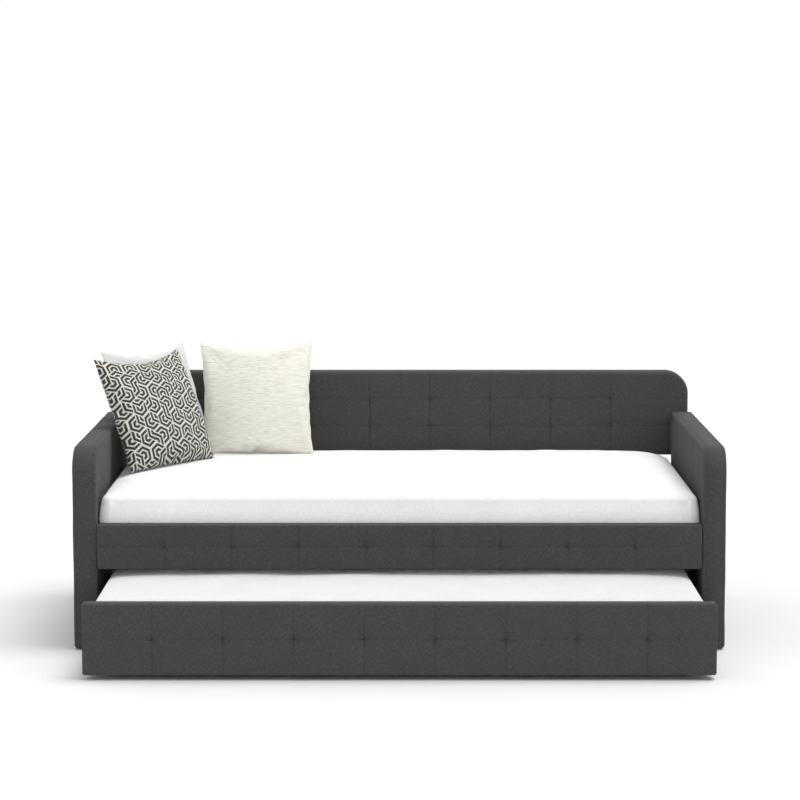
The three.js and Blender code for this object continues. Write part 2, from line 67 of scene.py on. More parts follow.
class Finish:
    """One finish as it is mixed: the shader, and short calls for the nodes that feed it."""

    def __init__(self, name, constants):
        self.material = bpy.data.materials.new(name)
        self.material.use_nodes = True
        self.nodes = self.material.node_tree.nodes
        self.links = self.material.node_tree.links
        self.shader = self.nodes["Principled BSDF"]
        for socket, value in constants.items():
            self.shader.inputs[socket].default_value = value

    def feed(self, socket, value):
        if isinstance(value, bpy.types.NodeSocket):
            self.links.new(value, socket)
        else:
            socket.default_value = value

    def cloth(self):
        """The run of the cloth, in metres."""
        node = self.nodes.new("ShaderNodeUVMap")
        node.uv_map = "cloth"
        return node.outputs[0]

    def solid(self):
        """The place inside the piece, in metres."""
        return self.nodes.new("ShaderNodeTexCoord").outputs["Object"]

    def math(self, operation, *values):
        node = self.nodes.new("ShaderNodeMath")
        node.operation = operation
        for socket, value in zip(node.inputs, values):
            self.feed(socket, value)
        return node.outputs[0]

    def vector(self, operation, *values):
        node = self.nodes.new("ShaderNodeVectorMath")
        node.operation = operation
        for socket, value in zip(node.inputs, values):
            self.feed(socket, value)
        return node.outputs["Value" if operation == "DOT_PRODUCT" else "Vector"]

    def split(self, vector):
        node = self.nodes.new("ShaderNodeSeparateXYZ")
        self.feed(node.inputs[0], vector)
        return node.outputs[0], node.outputs[1], node.outputs[2]

    def noise(self, vector, stretch, detail=2.0, roughness=0.5):
        """Cloudy noise from 0 to 1, with `stretch` cells to the metre each way."""
        node = self.nodes.new("ShaderNodeTexNoise")
        self.feed(node.inputs["Vector"], self.vector("MULTIPLY", vector, stretch))
        node.inputs["Scale"].default_value = 1
        node.inputs["Detail"].default_value = detail
        node.inputs["Roughness"].default_value = roughness
        return node.outputs[0]

    def span(self, value, low, high, out_low=0.0, out_high=1.0):
        """Stretches the part of a value between low and high."""
        node = self.nodes.new("ShaderNodeMapRange")
        self.feed(node.inputs["Value"], value)
        ends = {"From Min": low, "From Max": high, "To Min": out_low, "To Max": out_high}
        for socket, number in ends.items():
            node.inputs[socket].default_value = number
        return node.outputs[0]

    def mix(self, share, first, second):
        """A colour between two colours."""
        node = self.nodes.new("ShaderNodeMix")
        node.data_type = "RGBA"
        self.feed(node.inputs[0], share)
        for socket, colour in ((node.inputs[6], first), (node.inputs[7], second)):
            self.feed(socket, colour if isinstance(colour, bpy.types.NodeSocket) else (*colour, 1))
        return node.outputs[2]

    def shade(self, colour, factor):
        """A colour made lighter or darker by a factor."""
        node = self.nodes.new("ShaderNodeVectorMath")
        node.operation = "SCALE"
        self.feed(node.inputs[0], colour)
        self.feed(node.inputs["Scale"], factor)
        return node.outputs[0]

    def paint(self, colour, roughness=None):
        self.feed(self.shader.inputs["Base Color"], colour)
        if roughness is not None:
            self.feed(self.shader.inputs["Roughness"], roughness)

    def raise_surface(self, height, depth):
        """Lifts the surface by a height from 0 to 1, times depth in metres."""
        node = self.nodes.new("ShaderNodeBump")
        node.inputs["Distance"].default_value = depth
        self.feed(node.inputs["Height"], height)
        self.feed(self.shader.inputs["Normal"], node.outputs[0])


def plain_weave(finish, yarn):
    """Warp over weft: where the warp lies on top, the height of the yarns, and each one's own tone."""
    u, v, _ = finish.split(finish.cloth())
    across = finish.math("SINE", finish.math("MULTIPLY", u, math.pi / yarn))
    along = finish.math("SINE", finish.math("MULTIPLY", v, math.pi / yarn))
    warp_on_top = finish.math("GREATER_THAN", finish.math("MULTIPLY", across, along), 0)
    warp = finish.math("ABSOLUTE", across)
    weft = finish.math("ABSOLUTE", along)
    top = finish.math("ADD", finish.math("MULTIPLY", warp, warp_on_top),
                      finish.math("MULTIPLY", weft, finish.math("SUBTRACT", 1, warp_on_top)))
    under = finish.math("ADD", finish.math("MULTIPLY", weft, warp_on_top),
                        finish.math("MULTIPLY", warp, finish.math("SUBTRACT", 1, warp_on_top)))
    height = finish.math("MULTIPLY", top, finish.math("MULTIPLY_ADD", under, 0.4, 0.6))
    across_yarn = 0.8 / yarn
    warp_tone = finish.noise(finish.cloth(), (across_yarn, across_yarn / 7, 1), 1.0)
    weft_tone = finish.noise(finish.cloth(), (across_yarn / 7, across_yarn, 1), 1.0)
    tone = finish.math("ADD", finish.math("MULTIPLY", warp_tone, warp_on_top),
                       finish.math("MULTIPLY", weft_tone, finish.math("SUBTRACT", 1, warp_on_top)))
    return height, tone, finish.math("MULTIPLY", warp_tone, weft_tone)


def woven(name, dark, pale, yarn, relief, sheen, contrast=1.0):
    """Heathered plain weave: two yarn tones, painted shade between the yarns, and broad unevenness."""
    finish = Finish(name, {"Roughness": 0.92, "Specular IOR Level": 0.18, "Sheen Weight": sheen,
                           "Sheen Roughness": 0.42, "Diffuse Roughness": 0.6})
    height, tone, heather = plain_weave(finish, yarn)
    yarns = finish.mix(finish.span(tone, 0.5 - 0.22 / contrast, 0.5 + 0.22 / contrast), dark, pale)
    clouds = finish.noise(finish.cloth(), (9, 9, 9), 4.0, 0.6)
    flecks = finish.noise(finish.cloth(), (300, 300, 300), 2.0, 0.6)
    broad = finish.span(clouds, 0.3, 0.7, 1 - 0.05 * contrast, 1 + 0.05 * contrast)
    fine = finish.span(flecks, 0.3, 0.7, -0.08 * contrast, 0.08 * contrast)
    unevenness = finish.math("ADD", broad, fine)
    # Painted shade: darker where the yarns lie low, between them.
    between = finish.span(height, 0.0, 0.5, 0.72, 1.0)
    streaks = finish.span(heather, 0.12, 0.38, 1 - 0.09 * contrast, 1 + 0.09 * contrast)
    factor = finish.math("MULTIPLY", finish.math("MULTIPLY", unevenness, between), streaks)
    finish.paint(finish.shade(yarns, factor), finish.span(tone, 0.3, 0.7, 0.86, 0.97))
    finish.raise_surface(finish.math("MULTIPLY_ADD", flecks, 0.35, height), relief)
    return finish


def run_cloth(piece):
    """Runs the cloth over each face in metres, seen square from the side that the face is on."""
    mesh = piece.data
    corners = np.empty(len(mesh.loops), np.int32)
    mesh.loops.foreach_get("vertex_index", corners)
    points = np.empty(len(mesh.vertices) * 3)
    mesh.vertices.foreach_get("co", points)
    normals = np.empty(len(mesh.polygons) * 3)
    mesh.polygons.foreach_get("normal", normals)
    sizes = np.empty(len(mesh.polygons), np.int32)
    mesh.polygons.foreach_get("loop_total", sizes)
    side = np.argmax(np.abs(normals.reshape(-1, 3)), axis=1).repeat(sizes)
    kept = np.array([(1, 2), (0, 2), (0, 1)])[side]
    run = np.take_along_axis(points.reshape(-1, 3)[corners], kept, axis=1)
    mesh.uv_layers.new(name="cloth").data.foreach_set("uv", run.ravel())


def make(name, points, faces, finish, smooth=True):
    """A piece from its points and faces, every face turned outwards."""
    mesh = bpy.data.meshes.new(name)
    mesh.from_pydata(points, [], faces)
    shell = bmesh.new()
    shell.from_mesh(mesh)
    bmesh.ops.recalc_face_normals(shell, faces=shell.faces)
    shell.to_mesh(mesh)
    shell.free()
    if smooth:
        mesh.shade_smooth()
    mesh.materials.append(finish.material)
    piece = bpy.data.objects.new(name, mesh)
    bpy.context.scene.collection.objects.link(piece)
    return piece


def grid_lines(low, high, seams, corner_low, corner_high, pitch):
    """Where the lines of the cloth's grid run: crowded at the seams and round the corners."""
    marks = {low, high}
    for seam in seams:
        for step in SEAM_STEPS:
            marks.update((seam - step, seam + step))
    for share in CORNER_SHARES:
        marks.update((low + corner_low * share, high - corner_high * share))
    lines = [low]
    for mark in sorted(m for m in marks if low < m <= high):
        last = lines[-1]
        if mark - last < CLOSEST:
            continue
        count = math.ceil((mark - last) / pitch)
        lines += [last + (mark - last) * (k + 1) / count for k in range(count)]
    lines[-1] = high
    return np.array(lines)


def strip(first, second):
    """Faces between two closed loops of points."""
    count = len(first)
    return [(first[i], first[(i + 1) % count], second[(i + 1) % count], second[i]) for i in range(count)]


def slack(s, t, depth, seed):
    """The small unevenness of cloth over foam: long, low waves, in metres."""
    draw = np.random.default_rng(seed)
    total = np.zeros_like(s)
    for _ in range(16):
        turn = draw.uniform(0, math.pi)
        wave = draw.uniform(0.06, 0.38)
        phase = draw.uniform(0, 2 * math.pi)
        total += wave * np.sin(2 * math.pi * (s * math.cos(turn) + t * math.sin(turn)) / wave + phase)
    return depth * total


def padded_panel(name, place, low, high, thickness, soft, radii, seams, pull_in, finish,
                 both_faces=False, pitch=PANEL_PITCH, notch=0.0009, belly=0.0):
    """A padded slab. low and high are the corners of its outline; radii those of the outline's corners,
    from the bottom left one round to the top left; seams the sewn lines up and across it. pull_in says
    how far its face is drawn in at a point, and place stands it up from (along, up, depth). notch is
    the depth of the seam round its edge, and belly how far its sides swell."""
    low, high = np.array(low) + soft, np.array(high) - soft
    rounds = [max(radius - soft, 0.002) for radius in radii]
    bl, br, tr, tl = rounds
    across = grid_lines(low[0], high[0], seams[0], max(bl, tl), max(br, tr), pitch)
    up = grid_lines(low[1], high[1], seams[1], max(bl, br), max(tl, tr), pitch)
    s, t = np.meshgrid(across, up)
    columns, rows = len(across), len(up)
    loop = [(i, 0) for i in range(columns)]
    loop += [(columns - 1, j) for j in range(1, rows)]
    loop += [(i, rows - 1) for i in range(columns - 2, -1, -1)]
    loop += [(0, j) for j in range(rows - 2, 0, -1)]
    rim = np.array([j * columns + i for i, j in loop])
    outward = np.array([(0.0, -1.0)] * columns + [(1.0, 0.0)] * (rows - 1)
                       + [(0.0, 1.0)] * (columns - 1) + [(-1.0, 0.0)] * (rows - 2))
    turned_s, turned_t = s.copy(), t.copy()
    for side_s, side_t, radius in ((-1, -1, bl), (1, -1, br), (1, 1, tr), (-1, 1, tl)):
        middle_s = (high[0] - radius) if side_s > 0 else (low[0] + radius)
        middle_t = (high[1] - radius) if side_t > 0 else (low[1] + radius)
        a = side_s * (s - middle_s) / radius
        b = side_t * (t - middle_t) / radius
        inside = (a > 1e-6) & (b > 1e-6)
        a, b = np.clip(a, 0, 1), np.clip(b, 0, 1)
        turned_s[inside] = (middle_s + side_s * radius * a * np.sqrt(1 - b * b / 2))[inside]
        turned_t[inside] = (middle_t + side_t * radius * b * np.sqrt(1 - a * a / 2))[inside]
        round_here = inside.ravel()[rim]
        away = np.stack([turned_s.ravel()[rim] - middle_s, turned_t.ravel()[rim] - middle_t], 1)
        away /= np.maximum(np.linalg.norm(away, axis=1, keepdims=True), 1e-9)
        outward[round_here] = away[round_here]
    s, t = turned_s.ravel(), turned_t.ravel()
    pull = pull_in(s, t)

    points = [np.stack([s, t, pull], 1)]
    faces = []
    for j in range(rows - 1):
        for i in range(columns - 1):
            a = j * columns + i
            faces.append((a, a + 1, a + columns + 1, a + columns))

    rim_s, rim_t, rim_pull = s[rim], t[rim], pull[rim]
    last = list(rim)
    made = len(s)
    fronts = [0.12, 0.26, 0.42, 0.58, 0.74, 0.86, 0.93, 0.97, 1.0]
    walls = np.linspace(0, 1, max(3, math.ceil((thickness - 2 * soft) / (2 * pitch)) + 1))[1:-1]
    stations = [("front", share) for share in fronts]
    stations += [("wall", share) for share in walls]
    stations += [("rear", share) for share in fronts[::-1]]
    if not both_faces:
        stations.append(("rear", 0.0))
    for part, share in stations:
        turn = math.pi / 2 * share
        out, sunk = soft * math.sin(turn), soft * (1 - math.cos(turn))
        cut = notch * math.exp(-((share - 0.95) / 0.04) ** 2)
        if part == "front":
            fade, depth, lift = (1 - share) ** 2, sunk, math.cos(turn)
        elif part == "wall":
            fade, lift, cut = 0, 0, 0
            out = soft + belly * math.sin(math.pi * share)
            depth = soft + share * (thickness - 2 * soft)
        else:
            fade, depth, lift = 0, thickness - sunk, -math.cos(turn)
        if both_faces and part == "rear":
            fade = (1 - share) ** 2
        moved = rim_pull * fade + cut
        ring_s = rim_s + outward[:, 0] * (out - moved * math.sin(turn))
        ring_t = rim_t + outward[:, 1] * (out - moved * math.sin(turn))
        points.append(np.stack([ring_s, ring_t, depth + moved * lift], 1))
        ring = list(range(made, made + len(rim)))
        made += len(rim)
        faces += strip(last, ring)
        last = ring

    if both_faces:
        points.append(np.stack([s, t, thickness - pull], 1))
        for j in range(rows - 1):
            for i in range(columns - 1):
                a = made + j * columns + i
                faces.append((a, a + columns, a + columns + 1, a + 1))
        faces += strip(last, [made + k for k in rim])
    else:
        centre = (low + high) / 2
        reach = (high - low) / 2
        for inset, cut in ((0.006, 0), (0.008, 0.0005), (0.0095, 0.0013), (0.011, 0.0005), (0.014, 0)):
            shrink = 1 - inset / reach
            ring_s = centre[0] + (rim_s - centre[0]) * shrink[0]
            ring_t = centre[1] + (rim_t - centre[1]) * shrink[1]
            points.append(np.stack([ring_s, ring_t, np.full(len(rim), thickness - cut)], 1))
            ring = list(range(made, made + len(rim)))
            made += len(rim)
            faces += strip(last, ring)
            last = ring
        faces.append(tuple(last))
    stood = [place(*point) for point in np.concatenate(points)]
    piece = make(name, stood, faces, finish)
    run_cloth(piece)
    return piece


def tufted(columns, rows, upright_depth, level_depth, tuft_depth, seed):
    """How far a face is drawn in by a grid of seams, with a tuft where two of them cross."""
    columns, rows = np.array(columns), np.array(rows)

    def pull_in(s, t):
        off_s = s[:, None] - columns[None, :]
        off_t = t[:, None] - rows[None, :]
        near_s = off_s[np.arange(len(s)), np.abs(off_s).argmin(1)]
        near_t = off_t[np.arange(len(t)), np.abs(off_t).argmin(1)]
        reach = np.hypot(near_s, near_t)
        tightness = 1 + 1.5 * np.exp(-reach / 0.020)
        upright = upright_depth * np.exp(-np.abs(near_s) / 0.0028)
        level = level_depth * np.exp(-np.abs(near_t) / 0.0030)
        dip = 0.0015 * np.exp(-np.minimum(np.abs(near_s), np.abs(near_t)) / 0.022)
        tuft = tuft_depth * np.exp(-(reach / 0.0105) ** 1.2)
        turn = np.arctan2(near_t, near_s)
        creases = 0.0008 * np.cos(8 * turn + 3 * columns[np.abs(off_s).argmin(1)])
        creases *= np.exp(-((reach - 0.018) / 0.012) ** 2)
        sewn = tightness * (np.maximum(upright, level) + dip)
        return sewn + tuft + creases - FIELD_SWELL + slack(s, t, 0.0006, seed)

    return pull_in


CHARCOAL_DARK = (0.038, 0.0397, 0.0360)
CHARCOAL_PALE = (0.078, 0.0808, 0.0745)
charcoal = woven("charcoal weave", CHARCOAL_DARK, CHARCOAL_PALE, yarn=0.0011, relief=0.00025, sheen=0.06)

low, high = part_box("back_cover")
back_rows = [high.z - BACK_ROW * row for row in (1, 2)]
back = padded_panel(
    "back_upholstery", lambda s, t, d: (s, low.y + d, t), (low.x, low.z - BACK_TURN_UNDER),
    (high.x, high.z), high.y - low.y + BACK_LINING, SOFT_EDGE,
    (SQUARE_CORNER, SQUARE_CORNER, BACK_CORNER, BACK_CORNER), (TUFTS, back_rows),
    tufted(TUFTS, back_rows, upright_depth=0.0029, level_depth=0.0013, tuft_depth=0.0078, seed=11),
    charcoal)
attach(back, "daybed")
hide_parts("back_cover")


# ---- Arms ---------------------------------------------------------------------------------
# Each arm is a slab: a timber panel under thin foam, in a cover of two cheeks and a strip sewn round
# their edges. The top front corner is rounded. It is bolted to the back and to the front rail.
ARM_CORNER = 0.080
ARM_SOFT_EDGE = 0.011
ARM_TURN_UNDER = 0.003                 # cloth turned over the bottom edge of the board
ARM_TURN_BEHIND = 0.007                # and over its rear edge, pressed into the back's foam
ARM_SLACK = 0.0011
ARM_NOTCH = 0.0015                     # depth of the seams round a cheek

for side, name in ((-1, "left"), (1, "right")):
    low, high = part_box(f"arm_{name}_cover")
    outer = high.x if side > 0 else low.x
    arm = padded_panel(
        f"arm_{name}_upholstery", lambda s, t, d: (outer - side * d, s, t),
        (low.y, low.z - ARM_TURN_UNDER), (high.y + ARM_TURN_BEHIND, high.z), high.x - low.x,
        ARM_SOFT_EDGE, (SQUARE_CORNER, SQUARE_CORNER, SQUARE_CORNER, ARM_CORNER), ((), ()),
        lambda s, t: slack(s, t, ARM_SLACK, 20 + side), charcoal, both_faces=True, notch=ARM_NOTCH)
    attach(arm, "daybed")
    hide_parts(f"arm_{name}_cover")


# ---- Rails and trundle front --------------------------------------------------------------
# Three boards, each padded on its outer face and wrapped in the weave. The front rail and the trundle's
# front are sewn along the middle and across, each crossing tufted; the rear rail is plain.
RAIL_SOFT_EDGE = 0.005
RAIL_CORNER = 0.0072
RAIL_LINING = 0.0015                   # cloth stapled over the inner face of each board
RAIL_SLACK = 0.0008

for cover, name, body, seed in (("rail_cover", "rail_upholstery", "daybed", 31),
                                ("trundle_front_cover", "trundle_front_upholstery", "trundle", 32),
                                ("rear_rail_cover", "rear_rail_upholstery", "daybed", 33)):
    low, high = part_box(cover)
    middle = [(low.z + high.z) / 2]
    if cover == "rear_rail_cover":
        seams = ((), ())
        pull_in = lambda s, t: slack(s, t, RAIL_SLACK, seed)
        place = lambda s, t, d: (s, high.y - d, t)
    else:
        seams = (TUFTS, middle)
        pull_in = tufted(TUFTS, middle, upright_depth=0.0023, level_depth=0.0014, tuft_depth=0.0125,
                         seed=seed)
        place = lambda s, t, d: (s, low.y + d, t)
    board = padded_panel(name, place, (low.x, low.z), (high.x, high.z), high.y - low.y + RAIL_LINING,
                         RAIL_SOFT_EDGE, [RAIL_CORNER] * 4, seams, pull_in, charcoal)
    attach(board, body)
    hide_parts(cover)


# ---- Boards under the covers --------------------------------------------------------------
# Each padded piece is built on a hardwood plywood board, with its cover pulled round and stapled. The
# covers hide all of the boards.
def timber(name, pale, dark, run, ply=False):
    """Sawn timber, with its grain along axis `run` and growth rings as wandering bands."""
    finish = Finish(name, {"Specular IOR Level": 0.35})
    along = [26.0, 26.0, 26.0]
    along[run] = 1.6
    fine = [900.0, 900.0, 900.0]
    fine[run] = 12.0
    rings = finish.noise(finish.solid(), along, 3.0, 0.55)
    bands = finish.math("SINE", finish.math("MULTIPLY", rings, 46))
    fibres = finish.noise(finish.solid(), fine, 3.0, 0.6)
    tone = finish.math("MULTIPLY_ADD", bands, 0.28, finish.math("MULTIPLY_ADD", fibres, 0.7, 0.12))
    colour = finish.mix(finish.span(tone, 0.1, 0.95), pale, dark)
    if ply:
        _, depth, _ = finish.split(finish.solid())
        plies = finish.math("SINE", finish.math("MULTIPLY", depth, 2 * math.pi / 0.003))
        colour = finish.shade(colour, finish.span(plies, -1, 1, 0.86, 1.06))
    finish.paint(colour, finish.span(fibres, 0.2, 0.8, 0.5, 0.72))
    finish.raise_surface(fibres, 0.0003)
    return finish


def dress(node, finish):
    """Gives a frame part its finish."""
    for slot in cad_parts[node].material_slots:
        slot.material = finish.material


ACROSS_THE_BED, ALONG_THE_BED = 1, 0
plywood = timber("hardwood plywood", (0.50, 0.33, 0.17), (0.31, 0.18, 0.085), ALONG_THE_BED, ply=True)
for node in ("back_panel", "arm_left_panel", "arm_right_panel", "rail_board", "rear_rail_board",
             "trundle_front_board"):
    dress(node, plywood)


# ---- Slat deck ----------------------------------------------------------------------------
# Two pine ledgers screwed to the front and rear rails carry thirteen pine slats laid across. Two
# polypropylene webbing straps stapled under the slats keep them spaced.
STRAP_WIDTH = 0.030
STRAP_THICKNESS = 0.0012
STRAP_LAP = 0.012                      # strap past the outer edge of the last slat
STRAP_UNDER = 0.0003                   # strap below the slats
STRAP_SAG = 0.0015
PINE_PALE = (0.66, 0.47, 0.26)
PINE_DARK = (0.44, 0.27, 0.12)

pine_across = timber("pine, grain across the bed", PINE_PALE, PINE_DARK, ACROSS_THE_BED)
pine_along = timber("pine, grain along the bed", PINE_PALE, PINE_DARK, ALONG_THE_BED)
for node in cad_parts:
    if node.startswith("slat_"):
        dress(node, pine_across)
for node in ("front_ledger", "rear_ledger"):
    dress(node, pine_along)


def webbing(name, colour, rib):
    """Woven strap, with ribs across it, and painted shade in the hollows between them."""
    finish = Finish(name, {"Roughness": 0.7, "Specular IOR Level": 0.3})
    x, y, _ = finish.split(finish.solid())
    ribs = finish.math("ABSOLUTE", finish.math("SINE", finish.math("MULTIPLY", x, math.pi / rib)))
    rows = finish.math("SINE", finish.math("MULTIPLY", y, math.pi / (2 * rib)))
    herring = finish.math("ABSOLUTE", rows)
    height = finish.math("MULTIPLY", ribs, finish.math("MULTIPLY_ADD", herring, 0.4, 0.6))
    grime = finish.noise(finish.solid(), (30, 30, 30), 3.0)
    # Painted shade: darker where the weave lies low, between the ribs.
    between = finish.span(height, 0, 1, 0.6, 1.0)
    worn = finish.span(grime, 0.3, 0.7, 0.9, 1.08)
    finish.paint(finish.shade(colour, finish.math("MULTIPLY", between, worn)))
    finish.raise_surface(height, 0.0004)
    return finish


def strap(name, y, start, end, under, finish):
    """A flat strap run under the slats from start to end, dipping a little between them."""
    pitch = 0.006
    count = math.ceil((end - start) / pitch)
    profile = [(-1, 0), (-0.92, -1), (0.92, -1), (1, 0)]
    points = []
    for i in range(count + 1):
        x = start + (end - start) * i / count
        sag = STRAP_SAG * math.sin(math.pi * i / count * 12) ** 2
        for edge, drop in profile:
            points.append((x, y + edge * STRAP_WIDTH / 2, under - sag + drop * STRAP_THICKNESS))
    faces = []
    size = len(profile)
    for i in range(count):
        for k in range(size):
            a, b = i * size + k, i * size + (k + 1) % size
            faces.append((a, b, b + size, a + size))
    faces.append(tuple(range(size)))
    faces.append(tuple(range(count * size, count * size + size)))
    return make(name, points, faces, finish)


strap_weave = webbing("black webbing", (0.035, 0.035, 0.036), 0.0016)
first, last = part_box("slat_01"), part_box("slat_13")
for name, share in (("slat_strap_front", 0.3), ("slat_strap_rear", 0.7)):
    y = first[0].y + share * (first[1].y - first[0].y)
    start, end = first[0].x - STRAP_LAP, last[1].x + STRAP_LAP
    piece = strap(name, y, start, end, first[0].z - STRAP_UNDER, strap_weave)
    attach(piece, "daybed")


# ---- Brackets, bolts and screws -----------------------------------------------------------
# Zinc-plated steel angles hold the front rail's ends to the arms. Bolts with washers go through the
# back and the rear rail into the arms, and socket-headed screws hold the ledgers and the brackets.
SCREW_RADIUS = 0.0045
WASHER_RADIUS = 0.0125
WASHER_THICKNESS = 0.0014
BOLT_RADIUS = 0.0085
BOLT_INSET = 0.042                     # from the edge of the panel that it holds
BOLT_PRESS = 0.0004                    # how far it presses into the cloth
LEDGER_SCREWS = 7
LEDGER_SCREW_INSET = 0.06
BRACKET_THICKNESS = 0.003


def metal(name, colour, roughness, grain, coat=0.0):
    """Plated or painted steel: fine unevenness, and duller, darker clouds where it has been handled."""
    bare = 1.0 if coat == 0 else 0.0
    finish = Finish(name, {"Metallic": bare, "Coat Weight": coat, "Coat Roughness": 0.3})
    clouds = finish.noise(finish.solid(), (60, 60, 60), 4.0, 0.6)
    fine = finish.noise(finish.solid(), (grain, grain, grain), 2.0)
    finish.paint(finish.mix(finish.span(clouds, 0.3, 0.7), colour, [c * 0.72 for c in colour]),
                 finish.span(clouds, 0.3, 0.7, roughness, roughness + 0.16))
    finish.raise_surface(fine, 0.00008)
    return finish


def screw_head(radius, height, socket):
    """Rings of a domed head with a six-sided socket, from its rim inwards: radius, height, six-sided."""
    return [(radius, 0, False), (radius, 0.3 * height, False), (0.93 * radius, 0.68 * height, False),
            (0.72 * radius, 0.95 * height, False), (socket * 1.15, height, True),
            (socket, 0.92 * height, True), (socket * 0.96, 0.25 * height, True)]


def fasteners(name, heads, places, finish):
    """One piece made of many alike heads, each at a point and facing a direction."""
    steps = 24
    points, faces = [], []
    for point, direction in places:
        turn = Vector(direction).to_track_quat("Z", "Y").to_matrix()
        for rings in heads:
            start = len(points)
            for radius, height, six_sided in rings:
                for k in range(steps):
                    angle = 2 * math.pi * k / steps
                    off = (angle % (math.pi / 3)) - math.pi / 6
                    reach = radius / (math.cos(off) / math.cos(math.pi / 6)) if six_sided else radius
                    local = Vector((reach * math.cos(angle), reach * math.sin(angle), height))
                    points.append(Vector(point) + turn @ local)
            for r in range(len(rings) - 1):
                a = range(start + r * steps, start + (r + 1) * steps)
                b = range(start + (r + 1) * steps, start + (r + 2) * steps)
                faces += strip(list(a), list(b))
            faces.append(tuple(range(start, start + steps)))
            faces.append(tuple(range(start + (len(rings) - 1) * steps, start + len(rings) * steps)))
    return make(name, points, faces, finish, smooth=False)


zinc = metal("zinc plate", (0.62, 0.63, 0.65), 0.34, 1500)
black_oxide = metal("black oxide steel", (0.055, 0.056, 0.06), 0.4, 1200)
for name in ("left", "right"):
    dress(f"rail_bracket_{name}", zinc)

small_head = screw_head(SCREW_RADIUS, 0.0026, 0.0018)
screws = []
for side, name in ((-1, "left"), (1, "right")):
    low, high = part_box(f"rail_bracket_{name}")
    inner = low.x if side > 0 else high.x
    for share in (0.25, 0.75):
        z = low.z + share * (high.z - low.z)
        for reach in (0.018, 0.040):
            screws.append(((inner + side * reach * 0.7, low.y + BRACKET_THICKNESS, z), (0, 1, 0)))
            wall = high.x - BRACKET_THICKNESS if side > 0 else low.x + BRACKET_THICKNESS
            screws.append(((wall, low.y + reach + 0.006, z), (-side, 0, 0)))
for node, facing in (("front_ledger", 1), ("rear_ledger", -1)):
    low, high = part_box(node)
    for x in np.linspace(low.x + LEDGER_SCREW_INSET, high.x - LEDGER_SCREW_INSET, LEDGER_SCREWS):
        screws.append(((x, high.y if facing > 0 else low.y, (low.z + high.z) / 2), (0, facing, 0)))
frame_screws = fasteners("frame_screws", [small_head], screws, zinc)
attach(frame_screws, "daybed")

washer = [(WASHER_RADIUS, 0, False), (WASHER_RADIUS, WASHER_THICKNESS, False),
          (BOLT_RADIUS, WASHER_THICKNESS + 0.0002, False)]
bolt = [(radius, height + WASHER_THICKNESS, six_sided)
        for radius, height, six_sided in screw_head(BOLT_RADIUS, 0.0042, 0.0034)]
bolts = []
for name in ("left", "right"):
    low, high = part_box(f"arm_{name}_cover")
    middle = (low.x + high.x) / 2
    for node in ("back_cover", "rear_rail_cover"):
        bottom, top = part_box(node)
        rear = top.y + (BACK_LINING if node == "back_cover" else 0) - BOLT_PRESS
        for z in (bottom.z + BOLT_INSET, min(top.z, high.z) - BOLT_INSET):
            bolts.append(((middle, rear, z), (0, 1, 0)))
frame_bolts = fasteners("frame_bolts", [washer, bolt], bolts, black_oxide)
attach(frame_bolts, "daybed")


# ---- Glides -------------------------------------------------------------------------------
# Four moulded plastic pads nailed under the arms keep the weave off the floor.
def moulded(name, colour, roughness, grain):
    """Moulded plastic or rubber with a fine sparked texture, and a little dust."""
    finish = Finish(name, {"Specular IOR Level": 0.4})
    fine = finish.noise(finish.solid(), (grain, grain, grain), 3.0, 0.6)
    dust = finish.noise(finish.solid(), (45, 45, 45), 4.0, 0.65)
    pale = [min(1, c * 1.9 + 0.015) for c in colour]
    finish.paint(finish.mix(finish.span(dust, 0.45, 0.85, 0, 0.6), colour, pale),
                 finish.span(fine, 0.3, 0.7, roughness - 0.06, roughness + 0.1))
    finish.raise_surface(fine, 0.00012)
    return finish


glide_plastic = moulded("black glide plastic", (0.014, 0.014, 0.015), 0.5, 900)
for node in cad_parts:
    if node.startswith("glide_"):
        dress(node, glide_plastic)


# ---- Mattresses ---------------------------------------------------------------------------
# Two foam mattresses in zipped white knit covers, with rolled edges and a gentle crown. One lies on
# the slats between the arms. The other, in a thinner knit painted darker as painted shade from the
# rail and arms over it, lies in the trundle.
MATTRESS_ROLL = 0.016
MATTRESS_CORNER = 0.034
MATTRESS_PITCH = 0.015
MATTRESS_SLACK = 0.0012
MATTRESS_SWELL = 0.0025                # how far the filling may push the cover out
# How far each mattress is crowned, how far its sides belly, and the draw of its unevenness.
MATTRESSES = {
    "mattress": {"body": "daybed", "crown": 0.033, "belly": 0.006, "seed": 41},
    "trundle_mattress": {"body": "trundle", "crown": 0.010, "belly": 0.002, "seed": 42},
}


def points_of(mesh):
    flat = np.empty(len(mesh.vertices) * 3)
    mesh.vertices.foreach_get("co", flat)
    return flat.reshape(-1, 3)


